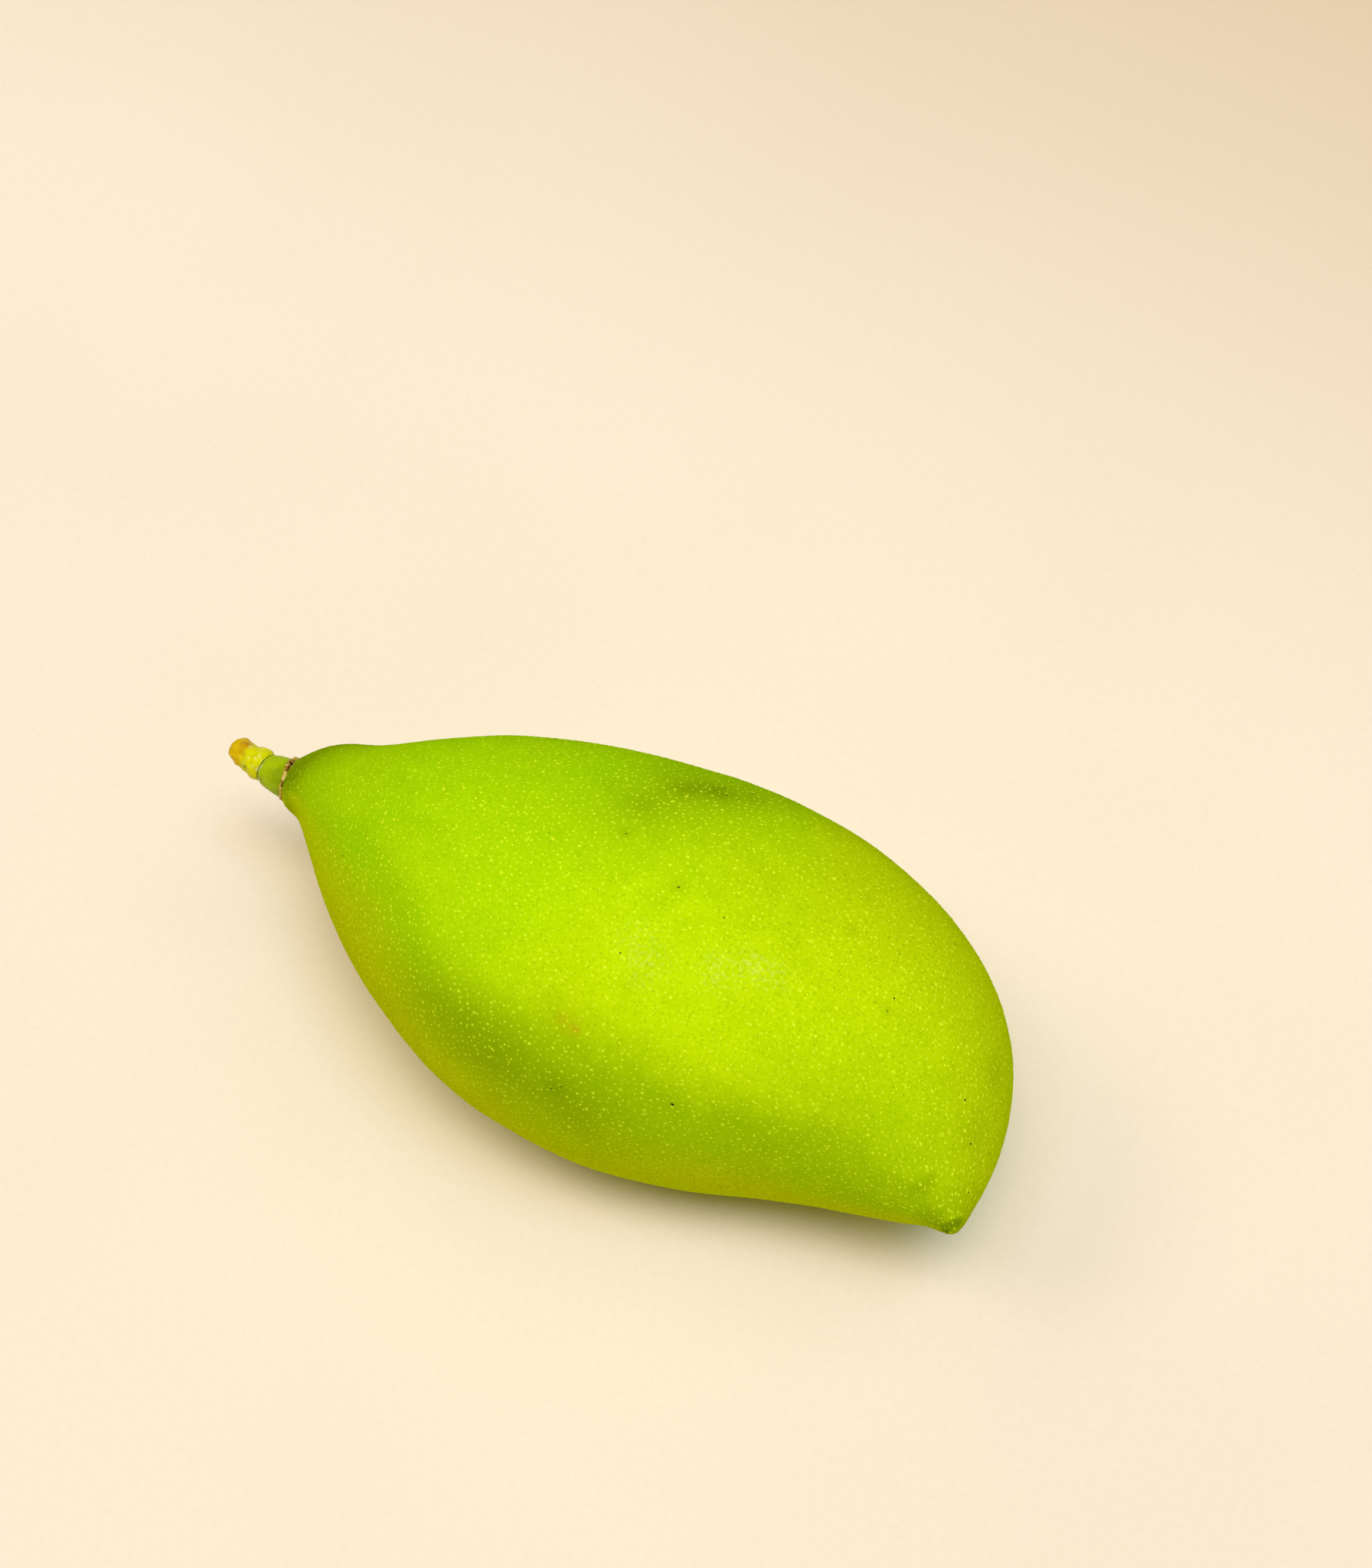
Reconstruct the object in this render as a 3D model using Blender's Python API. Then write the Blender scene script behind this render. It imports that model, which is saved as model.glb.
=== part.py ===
"""A green mango lying on its flatter cheek: the fruit, and the short cut stem at its narrow end.

World axes in metres: X runs along the fruit from stem to beak, Y points to its swollen back, Z is up.
Profiles and radii below are in millimetres, and MM turns them into metres.
"""

import math

import bmesh
import bpy

MM = 0.001

# The two sides of the fruit seen from above, as handles that pull a smooth curve from stem to beak.
BACK_HANDLES = (
    (-76.1, 2.3),
    (-70.8, 10.8),
    (-63.4, 11.2),
    (-42.2, 29.5),
    (-14.5, 42.0),
    (17.9, 49.7),
    (46.1, 42.0),
    (62.6, 26.3),
    (67.0, 6.5),
    (64.3, 2.6),
)
BELLY_HANDLES = (
    (-73.6, -5.1),
    (-72.1, -6.6),
    (-70.7, -3.5),
    (-52.9, -17.9),
    (-18.5, -30.3),
    (16.5, -24.4),
    (39.2, -6.4),
    (62.4, -0.1),
    (64.3, 2.6),
)

# Thickness of the fruit as a share of its width, as handles from stem to beak: a flattened middle.
THICKNESS_HANDLES = (0.95, 0.95, 0.93, 0.88, 0.80, 0.87, 1.12, 1.12)

# Fullness of a ring round the fruit: 2 is an ellipse, more is squarer.
RING_FULLNESS = 2.1

# The blunt nipple at the beak: how far it stands out, how wide it is, and which way it points.
BEAK_HEIGHT = 2.25
BEAK_RADIUS = 3.6
BEAK_ANGLE = -0.75

# The spot that the fruit lies on is pressed this far into its cheek.
FLAT_DEPTH = 0.45

FRUIT_RINGS = 72
FRUIT_SIDES = 60

# The stem leaves the fruit square to its end ring, across this gap, then straightens within a few
# millimetres until it points this far toward the belly, and droops a little. Angles in degrees.
STEM_GAP = 0.3
STEM_TURN_END = 1.5
STEM_BEND = 5.0
STEM_DROOP = 1.0

# Distance from the fruit and radius of the stem, as handles: flared foot, crease, knobbly end.
STEM_HANDLES = (
    (0.0, 3.65),
    (0.9, 3.6),
    (2.4, 3.35),
    (3.9, 3.1),
    (4.6, 2.55),
    (4.95, 2.5),
    (5.4, 3.1),
    (7.2, 3.05),
    (9.0, 2.45),
    (11.3, 2.6),
    (12.7, 1.7),
    (12.7, 0.0),
)

# Three soft lumps round the knobbly end, as a share of its radius.
STEM_LUMPS = 0.05

STEM_RINGS = 44
STEM_SIDES = 28


def spline_weights(count, t):
    """How much each of count handles counts at t (0 to 1) on a clamped uniform cubic spline."""
    spans = count - 3
    knots = [0.0] * 3 + [i / spans for i in range(spans + 1)] + [1.0] * 3
    last = min(int(t * spans), spans - 1) + 3
    weights = [0.0] * (len(knots) - 1)
    weights[last] = 1.0
    for degree in (1, 2, 3):
        raised = []
        for i in range(len(weights) - 1):
            rise = knots[i + degree] - knots[i]
            fall = knots[i + degree + 1] - knots[i + 1]
            value = 0.0
            if rise > 0.0:
                value += (t - knots[i]) / rise * weights[i]
            if fall > 0.0:
                value += (knots[i + degree + 1] - t) / fall * weights[i + 1]
            raised.append(value)
        weights = raised
    return weights


def spline_point(handles, t):
    weights = spline_weights(len(handles), t)
    first = sum(w * handle[0] for w, handle in zip(weights, handles))
    second = sum(w * handle[1] for w, handle in zip(weights, handles))
    return first, second


def full_turn(angle):
    """Cosine and sine of a ring's angle, swelled from an ellipse toward a square by its fullness."""
    across = math.copysign(abs(math.cos(angle)) ** (2.0 / RING_FULLNESS), math.cos(angle))
    up = math.copysign(abs(math.sin(angle)) ** (2.0 / RING_FULLNESS), math.sin(angle))
    return across, up


def thickness_share(t):
    weights = spline_weights(len(THICKNESS_HANDLES), t)
    return sum(w * share for w, share in zip(weights, THICKNESS_HANDLES))


def fruit_ring(t):
    """The ring at t: its middle, its half width as a plan vector, and its half thickness."""
    back = spline_point(BACK_HANDLES, t)
    belly = spline_point(BELLY_HANDLES, t)
    half = ((back[0] - belly[0]) / 2.0, (back[1] - belly[1]) / 2.0)
    reach = math.hypot(*half)
    push = 0.0
    if t > 0.5:
        push = BEAK_HEIGHT * math.exp(-((reach / BEAK_RADIUS) ** 2))
    middle = (
        (back[0] + belly[0]) / 2.0 + push * math.cos(BEAK_ANGLE),
        (back[1] + belly[1]) / 2.0 + push * math.sin(BEAK_ANGLE),
    )
    return middle, half, reach * thickness_share(t)


def fruit_rows():
    """Rings of points from the stem end to the beak, about a middle height of zero."""
    rows = []
    for i in range(FRUIT_RINGS):
        middle, half, thick = fruit_ring(i / FRUIT_RINGS)
        row = []
        for j in range(FRUIT_SIDES):
            across, up = full_turn(math.tau * (j + 0.5) / FRUIT_SIDES)
            row.append((middle[0] + half[0] * across, middle[1] + half[1] * across, thick * up))
        rows.append(row)
    tip, _, _ = fruit_ring(1.0)
    return rows, (tip[0], tip[1], 0.0)


def stem_foot():
    """The middle of the fruit's end ring, and the turn toward the belly of the way out of it."""
    back, belly = BACK_HANDLES[0], BELLY_HANDLES[0]
    turn = math.atan2(belly[0] - back[0], back[1] - belly[1])
    return ((back[0] + belly[0]) / 2.0, (back[1] + belly[1]) / 2.0), turn


def stem_heading(along, start):
    """The stem's turn and droop at a share of its length."""
    end = math.radians(STEM_TURN_END)
    turn = end + (start - end) * (1.0 - along) ** STEM_BEND
    return turn, math.radians(STEM_DROOP) * along


def stem_middle(distance, length):
    """The point of the stem's middle line at a distance from its foot."""
    (x, y), start = stem_foot()
    x -= STEM_GAP * math.cos(start)
    y -= STEM_GAP * math.sin(start)
    z = 0.0
    steps = 40
    for i in range(steps):
        turn, dip = stem_heading(distance * (i + 0.5) / steps / length, start)
        x -= distance / steps * math.cos(turn) * math.cos(dip)
        y -= distance / steps * math.sin(turn) * math.cos(dip)
        z -= distance / steps * math.sin(dip)
    return x, y, z


def stem_rows():
    """Rings of points from the stem's foot to its cut end."""
    length = STEM_HANDLES[-1][0]
    start = stem_foot()[1]
    rows = []
    for i in range(STEM_RINGS):
        distance, radius = spline_point(STEM_HANDLES, i / STEM_RINGS)
        middle = stem_middle(distance, length)
        turn, droop = stem_heading(distance / length, start)
        knob = max(0.0, min(1.0, (distance - 5.4) / 1.5))
        side = (-math.sin(turn), math.cos(turn), 0.0)
        rise = (-math.cos(turn) * math.sin(droop), -math.sin(turn) * math.sin(droop), math.cos(droop))
        row = []
        for j in range(STEM_SIDES):
            angle = math.tau * (j + 0.5) / STEM_SIDES
            lump = 1.0 + STEM_LUMPS * knob * math.sin(3.0 * angle + 1.1 * distance)
            across = radius * lump * math.cos(angle)
            up = radius * lump * math.sin(angle)
            row.append(tuple(middle[k] + side[k] * across + rise[k] * up for k in range(3)))
        rows.append(row)
    return rows, stem_middle(length, length)


def closed_skin(name, rows, tip, shift):
    """A closed surface through rings of points, flat at the first ring and pointed at the tip."""
    skin = bmesh.new()
    grid = []
    for row in rows:
        grid.append([skin.verts.new([(p + s) * MM for p, s in zip(point, shift)]) for point in row])
    pole = skin.verts.new([(p + s) * MM for p, s in zip(tip, shift)])
    sides = len(rows[0])
    for low, high in zip(grid[:-1], grid[1:]):
        for j in range(sides):
            k = (j + 1) % sides
            skin.faces.new((low[j], low[k], high[k], high[j]))
    for j in range(sides):
        skin.faces.new((grid[-1][j], grid[-1][(j + 1) % sides], pole))
    skin.faces.new(grid[0])
    bmesh.ops.recalc_face_normals(skin, faces=skin.faces)
    mesh = bpy.data.meshes.new(name)
    skin.to_mesh(mesh)
    skin.free()
    piece = bpy.data.objects.new(name, mesh)
    bpy.context.scene.collection.objects.link(piece)
    return piece


def press_flat(piece):
    """Cuts off what is under the ground plane and closes the cut with one level face."""
    skin = bmesh.new()
    skin.from_mesh(piece.data)
    everything = skin.verts[:] + skin.edges[:] + skin.faces[:]
    cut = bmesh.ops.bisect_plane(
        skin,
        geom=everything,
        dist=0.02 * MM,
        plane_co=(0.0, 0.0, 0.0),
        plane_no=(0.0, 0.0, -1.0),
        use_snap_center=True,
        clear_outer=True,
    )
    rim = [item for item in cut["geom_cut"] if isinstance(item, bmesh.types.BMEdge)]
    for edge in rim:
        for point in edge.verts:
            point.co.z = 0.0
    bmesh.ops.edgeloop_fill(skin, edges=rim)
    bmesh.ops.recalc_face_normals(skin, faces=skin.faces)
    skin.to_mesh(piece.data)
    skin.free()


def finish(piece, colour, roughness):
    """Smooth shading with crisp rims, and one plain material."""
    piece.data.shade_smooth()
    piece.data.set_sharp_from_angle(angle=math.radians(50.0))
    material = bpy.data.materials.new(piece.name)
    material.use_nodes = True
    shader = material.node_tree.nodes["Principled BSDF"]
    shader.inputs["Base Color"].default_value = (*colour, 1.0)
    shader.inputs["Roughness"].default_value = roughness
    shader.inputs["Metallic"].default_value = 0.0
    piece.data.materials.append(material)


for old in list(bpy.data.objects):
    bpy.data.objects.remove(old, do_unlink=True)

fruit_points, beak_tip = fruit_rows()
stem_points, cut_end = stem_rows()

# The middle of the whole outline goes to the origin, and the flat spot to the ground.
every_point = [point for row in fruit_points + stem_points for point in row] + [beak_tip, cut_end]
low = [min(point[axis] for point in every_point) for axis in range(3)]
high = [max(point[axis] for point in every_point) for axis in range(3)]
offset = (-(low[0] + high[0]) / 2.0, -(low[1] + high[1]) / 2.0, -low[2] - FLAT_DEPTH)

fruit = closed_skin("fruit", fruit_points, beak_tip, offset)
press_flat(fruit)
finish(fruit, (0.33, 0.58, 0.01), 0.42)

stem = closed_skin("stem", stem_points, cut_end, offset)
finish(stem, (0.55, 0.6, 0.02), 0.5)
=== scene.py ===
import math

import bpy
import numpy as np
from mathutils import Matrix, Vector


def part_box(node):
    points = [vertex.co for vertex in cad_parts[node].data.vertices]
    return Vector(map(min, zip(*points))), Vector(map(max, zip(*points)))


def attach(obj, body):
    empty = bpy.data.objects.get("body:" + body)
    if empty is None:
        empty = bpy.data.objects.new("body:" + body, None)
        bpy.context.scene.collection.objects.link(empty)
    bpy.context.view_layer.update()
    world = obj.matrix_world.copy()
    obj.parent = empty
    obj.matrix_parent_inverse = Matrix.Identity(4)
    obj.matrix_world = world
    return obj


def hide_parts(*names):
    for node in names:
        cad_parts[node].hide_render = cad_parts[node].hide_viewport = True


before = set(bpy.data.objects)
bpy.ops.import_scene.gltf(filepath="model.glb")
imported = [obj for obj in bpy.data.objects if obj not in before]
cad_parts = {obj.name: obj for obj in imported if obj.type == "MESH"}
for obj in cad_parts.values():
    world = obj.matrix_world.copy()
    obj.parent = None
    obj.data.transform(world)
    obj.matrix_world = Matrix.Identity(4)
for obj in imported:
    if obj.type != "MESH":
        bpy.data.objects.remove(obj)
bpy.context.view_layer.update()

mm = 0.001

# the picture: the camera looks at the target from this side and height, and the frame is in pixels
shot = {
    "target": (-0.02366, 0.04875, 0.0),
    "azimuth": 39.0,
    "elevation": 55.0,
    "distance": 0.495,
    "lens": 60.0,
    "sensor": 36.0,
    "frame": (1792, 2048),
    "clipStart": 0.01,
}

# soft lamps: the side of the picture they stand on (0 near, 90 right), their height and their spread, all in
# degrees, and their red, green and blue strength. The room gives a dim fill. The backdrop shows behind the
# floor's far edge and gives no light
light = {
    "lamps": {
        "near": (0, 72, 24, (1.08, 0.93, 0.61)),
        "nearRight": (45, 72, 24, (0.59, 0.77, 1.14)),
        "nearLeft": (315, 72, 24, (0.61, 0.49, 0.71)),
        "left": (270, 52, 24, (0.45, 0.39, 0.32)),
        "right": (90, 65, 50, (0.65, 0.63, 0.53)),
        "farLeft": (225, 40, 50, (0.37, 0.39, 0.14)),
    },
    "roomColour": (1.0, 0.86, 0.44),
    "roomStrength": 0.050,
    "backdrop": (0.88, 0.735, 0.53),
}

# the paper floor. Patches of noise, here and in the other dictionaries, have a scale, a detail and a
# roughness, and the values of the noise between which they fade in
ground = {
    "paper": (0.885, 0.795, 0.630),
    "grain": (0.855, 0.762, 0.595),
    # the paper's tint in the painted shade far off to the upper right
    "farShade": (0.700, 0.575, 0.395),
    "fineGrain": (700.0, 3.0, 0.7, 0.35, 0.75),
    "fineShare": 0.6,
    "broadGrain": (11.0, 2.0, 0.5, 0.4, 0.7),
    "broadShare": 0.4,
    "farShadeHeading": (0.55, -0.84),  # right, and toward the camera
    "farShadeBand": (0.04, 0.34),  # metres that way from the target
    "tooth": (900.0, 3.0, 0.6),
    "toothDepth": 0.0002,
    "toothStrength": 0.3,
    "roughness": 0.85,
    "gloss": 0.05,
    "reach": 3.0,  # metres from the middle to each side
}


# curves and meshes

def splineAt(handles, t):
    # clamped uniform cubic spline: the Cox-de Boor weight of every handle at every t, times the handles
    handles = np.asarray(handles, float)
    t = np.clip(np.asarray(t, float), 0.0, 1.0 - 1e-12)
    knots = np.concatenate([[0.0] * 3, np.linspace(0.0, 1.0, len(handles) - 2), [1.0] * 3])
    weights = [((a <= t) & (t < b)).astype(float) for a, b in zip(knots[:-1], knots[1:])]
    for degree in (1, 2, 3):
        raised = []
        for i in range(len(weights) - 1):
            rise = knots[i + degree] - knots[i]
            fall = knots[i + degree + 1] - knots[i + 1]
            value = np.zeros_like(t)
            if rise > 0:
                value = value + (t - knots[i]) / rise * weights[i]
            if fall > 0:
                value = value + (knots[i + degree + 1] - t) / fall * weights[i + 1]
            raised.append(value)
        weights = raised
    return np.stack(weights, -1) @ handles


def smooth(low, high, value):
    # 0 below low, 1 above high, and the cubic 3x^2 - 2x^3 between them
    x = np.clip((value - low) / (high - low), 0.0, 1.0)
    return x * x * (3.0 - 2.0 * x)


def stepped(start, steps, value):
    # a start, plus each step's amount times its smooth rise between its two values
    for amount, low, high in steps:
        start = start + amount * smooth(low, high, value)
    return start


def bell(value, middle, width):
    # 1 at the middle, and exp(-x^2) at x widths from it
    return np.exp(-(((value - middle) / width) ** 2))


def waves(points, size, seed, count=9):
    # sum of sine waves of random heading and phase, about one size long, scaled to go from -1 to 1 or so
    pick = np.random.default_rng(seed)
    heading = pick.normal(size=(count, 3))
    heading /= np.linalg.norm(heading, axis=1)[:, None]
    length = size * pick.uniform(0.7, 1.5, count)
    phase = pick.uniform(0.0, 2.0 * math.pi, count)
    swing = np.sin(points @ (heading / length[:, None]).T * 2.0 * math.pi + phase)
    return swing.sum(-1) / math.sqrt(count / 2.0)


def ripples(points, layers, start=0.0):
    # a start, plus each layer's depth times waves of its size in mm and its seed
    return sum((depth * waves(points, size * mm, seed) for depth, size, seed in layers), start)


def trianglesAt(row, column, *steps):
    # a triangle at every row and column given: its corners are that many rows down and columns on
    return np.stack([np.stack([row + down, column + on], -1) for down, on in steps], 1)


def tubeFaces(rows, columns):
    # triangles of a tube of closed rings with a pole at each end: every square between two rings is cut in
    # two, and a fan closes each end. The chart goes by row one way and by column the other
    r, c = (grid.ravel() for grid in np.meshgrid(np.arange(rows - 1), np.arange(columns), indexing="ij"))
    one = trianglesAt(r, c, (0, 0), (0, 1), (1, 1))
    two = trianglesAt(r, c, (0, 0), (1, 1), (1, 0))
    c = np.arange(columns)
    first = trianglesAt(np.zeros_like(c), c, (-1, 0), (0, 1), (0, 0))
    end = trianglesAt(np.full_like(c, rows - 1), c, (0, 0), (0, 1), (1, 0))
    corners = np.concatenate([one, two, first, end])
    index = corners[..., 0] * columns + corners[..., 1] % columns
    index = np.where(corners[..., 0] < 0, rows * columns, index)
    index = np.where(corners[..., 0] >= rows, rows * columns + 1, index)
    chart = np.stack([(corners[..., 0] + 1.0) / (rows + 1.0), corners[..., 1] / columns], -1)
    return index, chart


def makePiece(name, points, faces, chart=None, values=None):
    # one mesh from arrays of points, of triangles, of their chart places, and of named values at the points
    mesh = bpy.data.meshes.new(name)
    mesh.vertices.add(len(points))
    mesh.vertices.foreach_set("co", np.asarray(points, np.float32).ravel())
    mesh.loops.add(faces.size)
    mesh.loops.foreach_set("vertex_index", faces.astype(np.int32).ravel())
    mesh.polygons.add(len(faces))
    mesh.polygons.foreach_set("loop_start", np.arange(0, faces.size, 3, dtype=np.int32))
    mesh.update(calc_edges=True)
    mesh.shade_smooth()
    if chart is not None:
        layer = mesh.uv_layers.new(name="OFBake")
        layer.data.foreach_set("uv", np.asarray(chart, np.float32).ravel())
    for key, value in (values or {}).items():
        layer = mesh.attributes.new(key, "FLOAT", "POINT")
        layer.data.foreach_set("value", np.asarray(value, np.float32).ravel())
    mesh.validate()
    piece = bpy.data.objects.new(name, mesh)
    bpy.context.scene.collection.objects.link(piece)
    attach(piece, "root")
    return piece


# materials

class Signal:
    # a socket of a finish; arithmetic on it adds Math nodes
    def __init__(self, finish, socket):
        self.finish = finish
        self.socket = socket

    def calc(self, operation, first, second):
        return self.finish.add("ShaderNodeMath", {"operation": operation}, {0: first, 1: second})

    def __add__(self, other):
        return self.calc("ADD", self, other)

    def __radd__(self, other):
        return self.calc("ADD", other, self)

    def __sub__(self, other):
        return self.calc("SUBTRACT", self, other)

    def __rsub__(self, other):
        return self.calc("SUBTRACT", other, self)

    def __mul__(self, other):
        return self.calc("MULTIPLY", self, other)

    def __rmul__(self, other):
        return self.calc("MULTIPLY", other, self)


class Finish:
    # the nodes of a material or a world: add makes any node from its type, its settings and its sockets'
    # values or links
    def __init__(self, name, kind="materials"):
        self.owner = getattr(bpy.data, kind).new(name)
        self.owner.use_nodes = True
        self.tree = self.owner.node_tree
        self.tree.nodes.clear()
        self.place = None

    def add(self, kind, settings=None, sockets=None, output=0):
        node = self.tree.nodes.new(kind)
        for key, value in (settings or {}).items():
            setattr(node, key, value)
        for key, value in (sockets or {}).items():
            if isinstance(value, Signal):
                self.tree.links.new(value.socket, node.inputs[key])
            else:
                node.inputs[key].default_value = value
        return Signal(self, node.outputs[output] if node.outputs else None)

    def at(self):
        # the place on the piece, in Object coordinates, from one node
        if self.place is None:
            self.place = self.add("ShaderNodeTexCoord", output="Object")
        return self.place

    def value(self, name):
        return self.add("ShaderNodeAttribute", {"attribute_name": name}, output="Fac")

    def noise(self, scale, detail, rough):
        sockets = {"Vector": self.at(), "Scale": scale, "Detail": detail, "Roughness": rough}
        return self.add("ShaderNodeTexNoise", {}, sockets)

    def mask(self, signal, low, high):
        sockets = {"Value": signal, "From Min": low, "From Max": high}
        return self.add("ShaderNodeMapRange", {"interpolation_type": "SMOOTHSTEP"}, sockets)

    def patches(self, scale, detail, rough, low, high):
        return self.mask(self.noise(scale, detail, rough), low, high)

    def parts(self, vector):
        first = self.add("ShaderNodeSeparateXYZ", {}, {"Vector": vector})
        return [Signal(self, socket) for socket in first.socket.node.outputs]

    def blend(self, factor, first, second):
        colours = [c if isinstance(c, Signal) else (*c, 1.0) for c in (first, second)]
        sockets = {0: factor, 6: colours[0], 7: colours[1]}
        return self.add("ShaderNodeMix", {"data_type": "RGBA"}, sockets, output=2)

    def bump(self, height, depth, strength):
        return self.add("ShaderNodeBump", {}, {"Height": height, "Distance": depth, "Strength": strength})

    def close(self, colour, roughness, normal=None, **fixed):
        # the shader and the output; fixed holds further sockets of the shader, with _ for each space
        sockets = {"Base Color": colour if isinstance(colour, Signal) else (*colour, 1.0), "Roughness": roughness}
        if normal is not None:
            sockets["Normal"] = normal
        sockets.update({key.replace("_", " "): value for key, value in fixed.items()})
        self.add("ShaderNodeOutputMaterial", {}, {"Surface": self.add("ShaderNodeBsdfPrincipled", {}, sockets)})
        return self.owner


# camera, floor and light

def aimed(obj, place, target):
    # put at a place and turned so that it looks at the target: yaw from the way's x and y, tilt from its drop
    direction = np.array(target, float) - np.array(place, float)
    obj.location = place
    yaw = math.atan2(direction[1], direction[0]) - math.pi / 2.0
    tilt = math.acos(np.clip(-direction[2] / np.linalg.norm(direction), -1.0, 1.0))
    obj.rotation_euler = (tilt, 0.0, yaw)
    bpy.context.scene.collection.objects.link(obj)


turnRad, riseRad = math.radians(shot["azimuth"]), math.radians(shot["elevation"])
back = np.array([math.sin(turnRad) * math.cos(riseRad), -math.cos(turnRad) * math.cos(riseRad), math.sin(riseRad)])
rightward = np.array([math.cos(turnRad), math.sin(turnRad), 0.0])
upward = np.cross(back, rightward)
eye = np.array(shot["target"]) + shot["distance"] * back

lens = bpy.data.cameras.new("camera")
lens.lens = shot["lens"]
lens.sensor_width = shot["sensor"]
lens.clip_start = shot["clipStart"]
camera = bpy.data.objects.new("camera", lens)
aimed(camera, eye, shot["target"])
bpy.context.scene.camera = camera


def toFrame(points):
    # perspective of the camera: offset right and up, times the lens in pixels, over the depth from the eye
    away = points - eye
    depth = -(away @ back)
    pixels = shot["lens"] / shot["sensor"] * max(shot["frame"])
    x = shot["frame"][0] / 2.0 + pixels * (away @ rightward) / depth
    y = shot["frame"][1] / 2.0 - pixels * (away @ upward) / depth
    return np.stack([x, y], -1)


towardEye = np.array([math.sin(turnRad), -math.cos(turnRad), 0.0])
for name, (side, height, width, strength) in light["lamps"].items():
    lamp = bpy.data.lights.new(name, "SUN")
    lamp.angle = math.radians(width)
    lamp.energy = max(strength)
    lamp.color = [channel / max(strength) for channel in strength]
    flat = towardEye * math.cos(math.radians(side)) + rightward * math.sin(math.radians(side))
    rise = math.radians(height)
    lampPlace = flat * math.cos(rise) + np.array([0.0, 0.0, math.sin(rise)])
    aimed(bpy.data.objects.new(name, lamp), lampPlace, (0.0, 0.0, 0.0))

room = Finish("room", "worlds")
fillSockets = {"Color": (*light["roomColour"], 1.0), "Strength": light["roomStrength"]}
fill = room.add("ShaderNodeBackground", {}, fillSockets)
backdrop = room.add("ShaderNodeBackground", {}, {"Color": (*light["backdrop"], 1.0)})
shown = room.add("ShaderNodeLightPath", output="Is Camera Ray")
fillOrBackdrop = room.add("ShaderNodeMixShader", {}, {0: shown, 1: fill, 2: backdrop})
room.add("ShaderNodeOutputWorld", {}, {"Surface": fillOrBackdrop})
bpy.context.scene.world = room.owner
bpy.context.scene.view_settings.view_transform = "Standard"

floorMesh = bpy.data.meshes.new("floor")
reach = ground["reach"]
floorCorners = [(-reach, -reach, 0), (reach, -reach, 0), (reach, reach, 0), (-reach, reach, 0)]
floorMesh.from_pydata(floorCorners, [], [(0, 1, 2, 3)])
floor = bpy.data.objects.new("floor", floorMesh)
bpy.context.scene.collection.objects.link(floor)
paper = Finish("paper")
east, north, _ = paper.parts(paper.at())
# far off to the upper right of the picture the paper gets dimmer and warmer: painted shade
heading = rightward * ground["farShadeHeading"][0] + towardEye * ground["farShadeHeading"][1]
far = (east - shot["target"][0]) * heading[0] + (north - shot["target"][1]) * heading[1]
grain = paper.patches(*ground["fineGrain"]) * ground["fineShare"]
grain = grain + paper.patches(*ground["broadGrain"]) * ground["broadShare"]
tone = paper.blend(grain, ground["paper"], ground["grain"])
tone = paper.blend(paper.mask(far, *ground["farShadeBand"]), tone, ground["farShade"])
paperBump = paper.bump(paper.noise(*ground["tooth"]), ground["toothDepth"], ground["toothStrength"])
floorMesh.materials.append(paper.close(tone, ground["roughness"], paperBump, Specular_IOR_Level=ground["gloss"]))
print("camera, floor and light are set")


# the fruit. Lengths are in mm, and handles pull a smooth curve from the stem to the beak
fruit = {
    "backHandles": [(-76.1, 2.3), (-70.8, 10.8), (-63.4, 11.2), (-42.2, 29.5), (-14.5, 42.0),
                    (17.9, 49.7), (46.1, 42.0), (62.6, 26.3), (67.0, 6.5), (64.3, 2.6)],
    "bellyHandles": [(-73.6, -5.1), (-72.1, -6.6), (-70.7, -3.5), (-52.9, -17.9), (-18.5, -30.3),
                     (16.5, -24.4), (39.2, -6.4), (62.4, -0.1), (64.3, 2.6)],
    "thicknessHandles": [0.95, 0.95, 0.93, 0.88, 0.80, 0.87, 1.12, 1.12],  # shares of the width
    "fullness": 2.1,  # of a ring: 2 is an ellipse, more is squarer
    "beakHeight": 2.25,
    "beakRadius": 3.6,
    "beakAngle": -0.75,
    "beakFrom": 0.5,  # only rings past this share of the length are pushed out
    "tipShift": (-0.15, 0.1, 0.0),
    "inset": 0.12,  # the skin lies this far inside the solid
    "swell": 0.22,  # depth of its soft unevenness
    "swellStart": 0.5,
    "swellWaves": [(0.25, 26.0, 3), (0.1, 9.0, 5)],  # depth, size and seed of each layer of waves
    "probe": (240, 241),  # rings and points that the body's own box is measured with
    "rows": 306,
    "columns": 300,
}


def fruitBody(t, turn):
    # a ring at t: the middle of the two side curves, half their distance across, and a share of that up;
    # round the ring a superellipse; at the beak the rings are pushed out by a bell curve of their width
    back = splineAt(fruit["backHandles"], t)
    belly = splineAt(fruit["bellyHandles"], t)
    half = (back - belly) / 2.0
    reach = np.linalg.norm(half, axis=-1)
    push = fruit["beakHeight"] * bell(reach, 0.0, fruit["beakRadius"]) * (t > fruit["beakFrom"])
    heading = np.array([math.cos(fruit["beakAngle"]), math.sin(fruit["beakAngle"])])
    middle = (back + belly) / 2.0 + push[..., None] * heading
    power = 2.0 / fruit["fullness"]
    across = np.sign(np.cos(turn)) * np.abs(np.cos(turn)) ** power
    up = np.sign(np.sin(turn)) * np.abs(np.sin(turn)) ** power
    x = middle[..., 0] + half[..., 0] * across
    y = middle[..., 1] + half[..., 1] * across
    z = reach * splineAt(fruit["thicknessHandles"], t) * up
    return np.stack([x, y, z], -1) * mm


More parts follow.
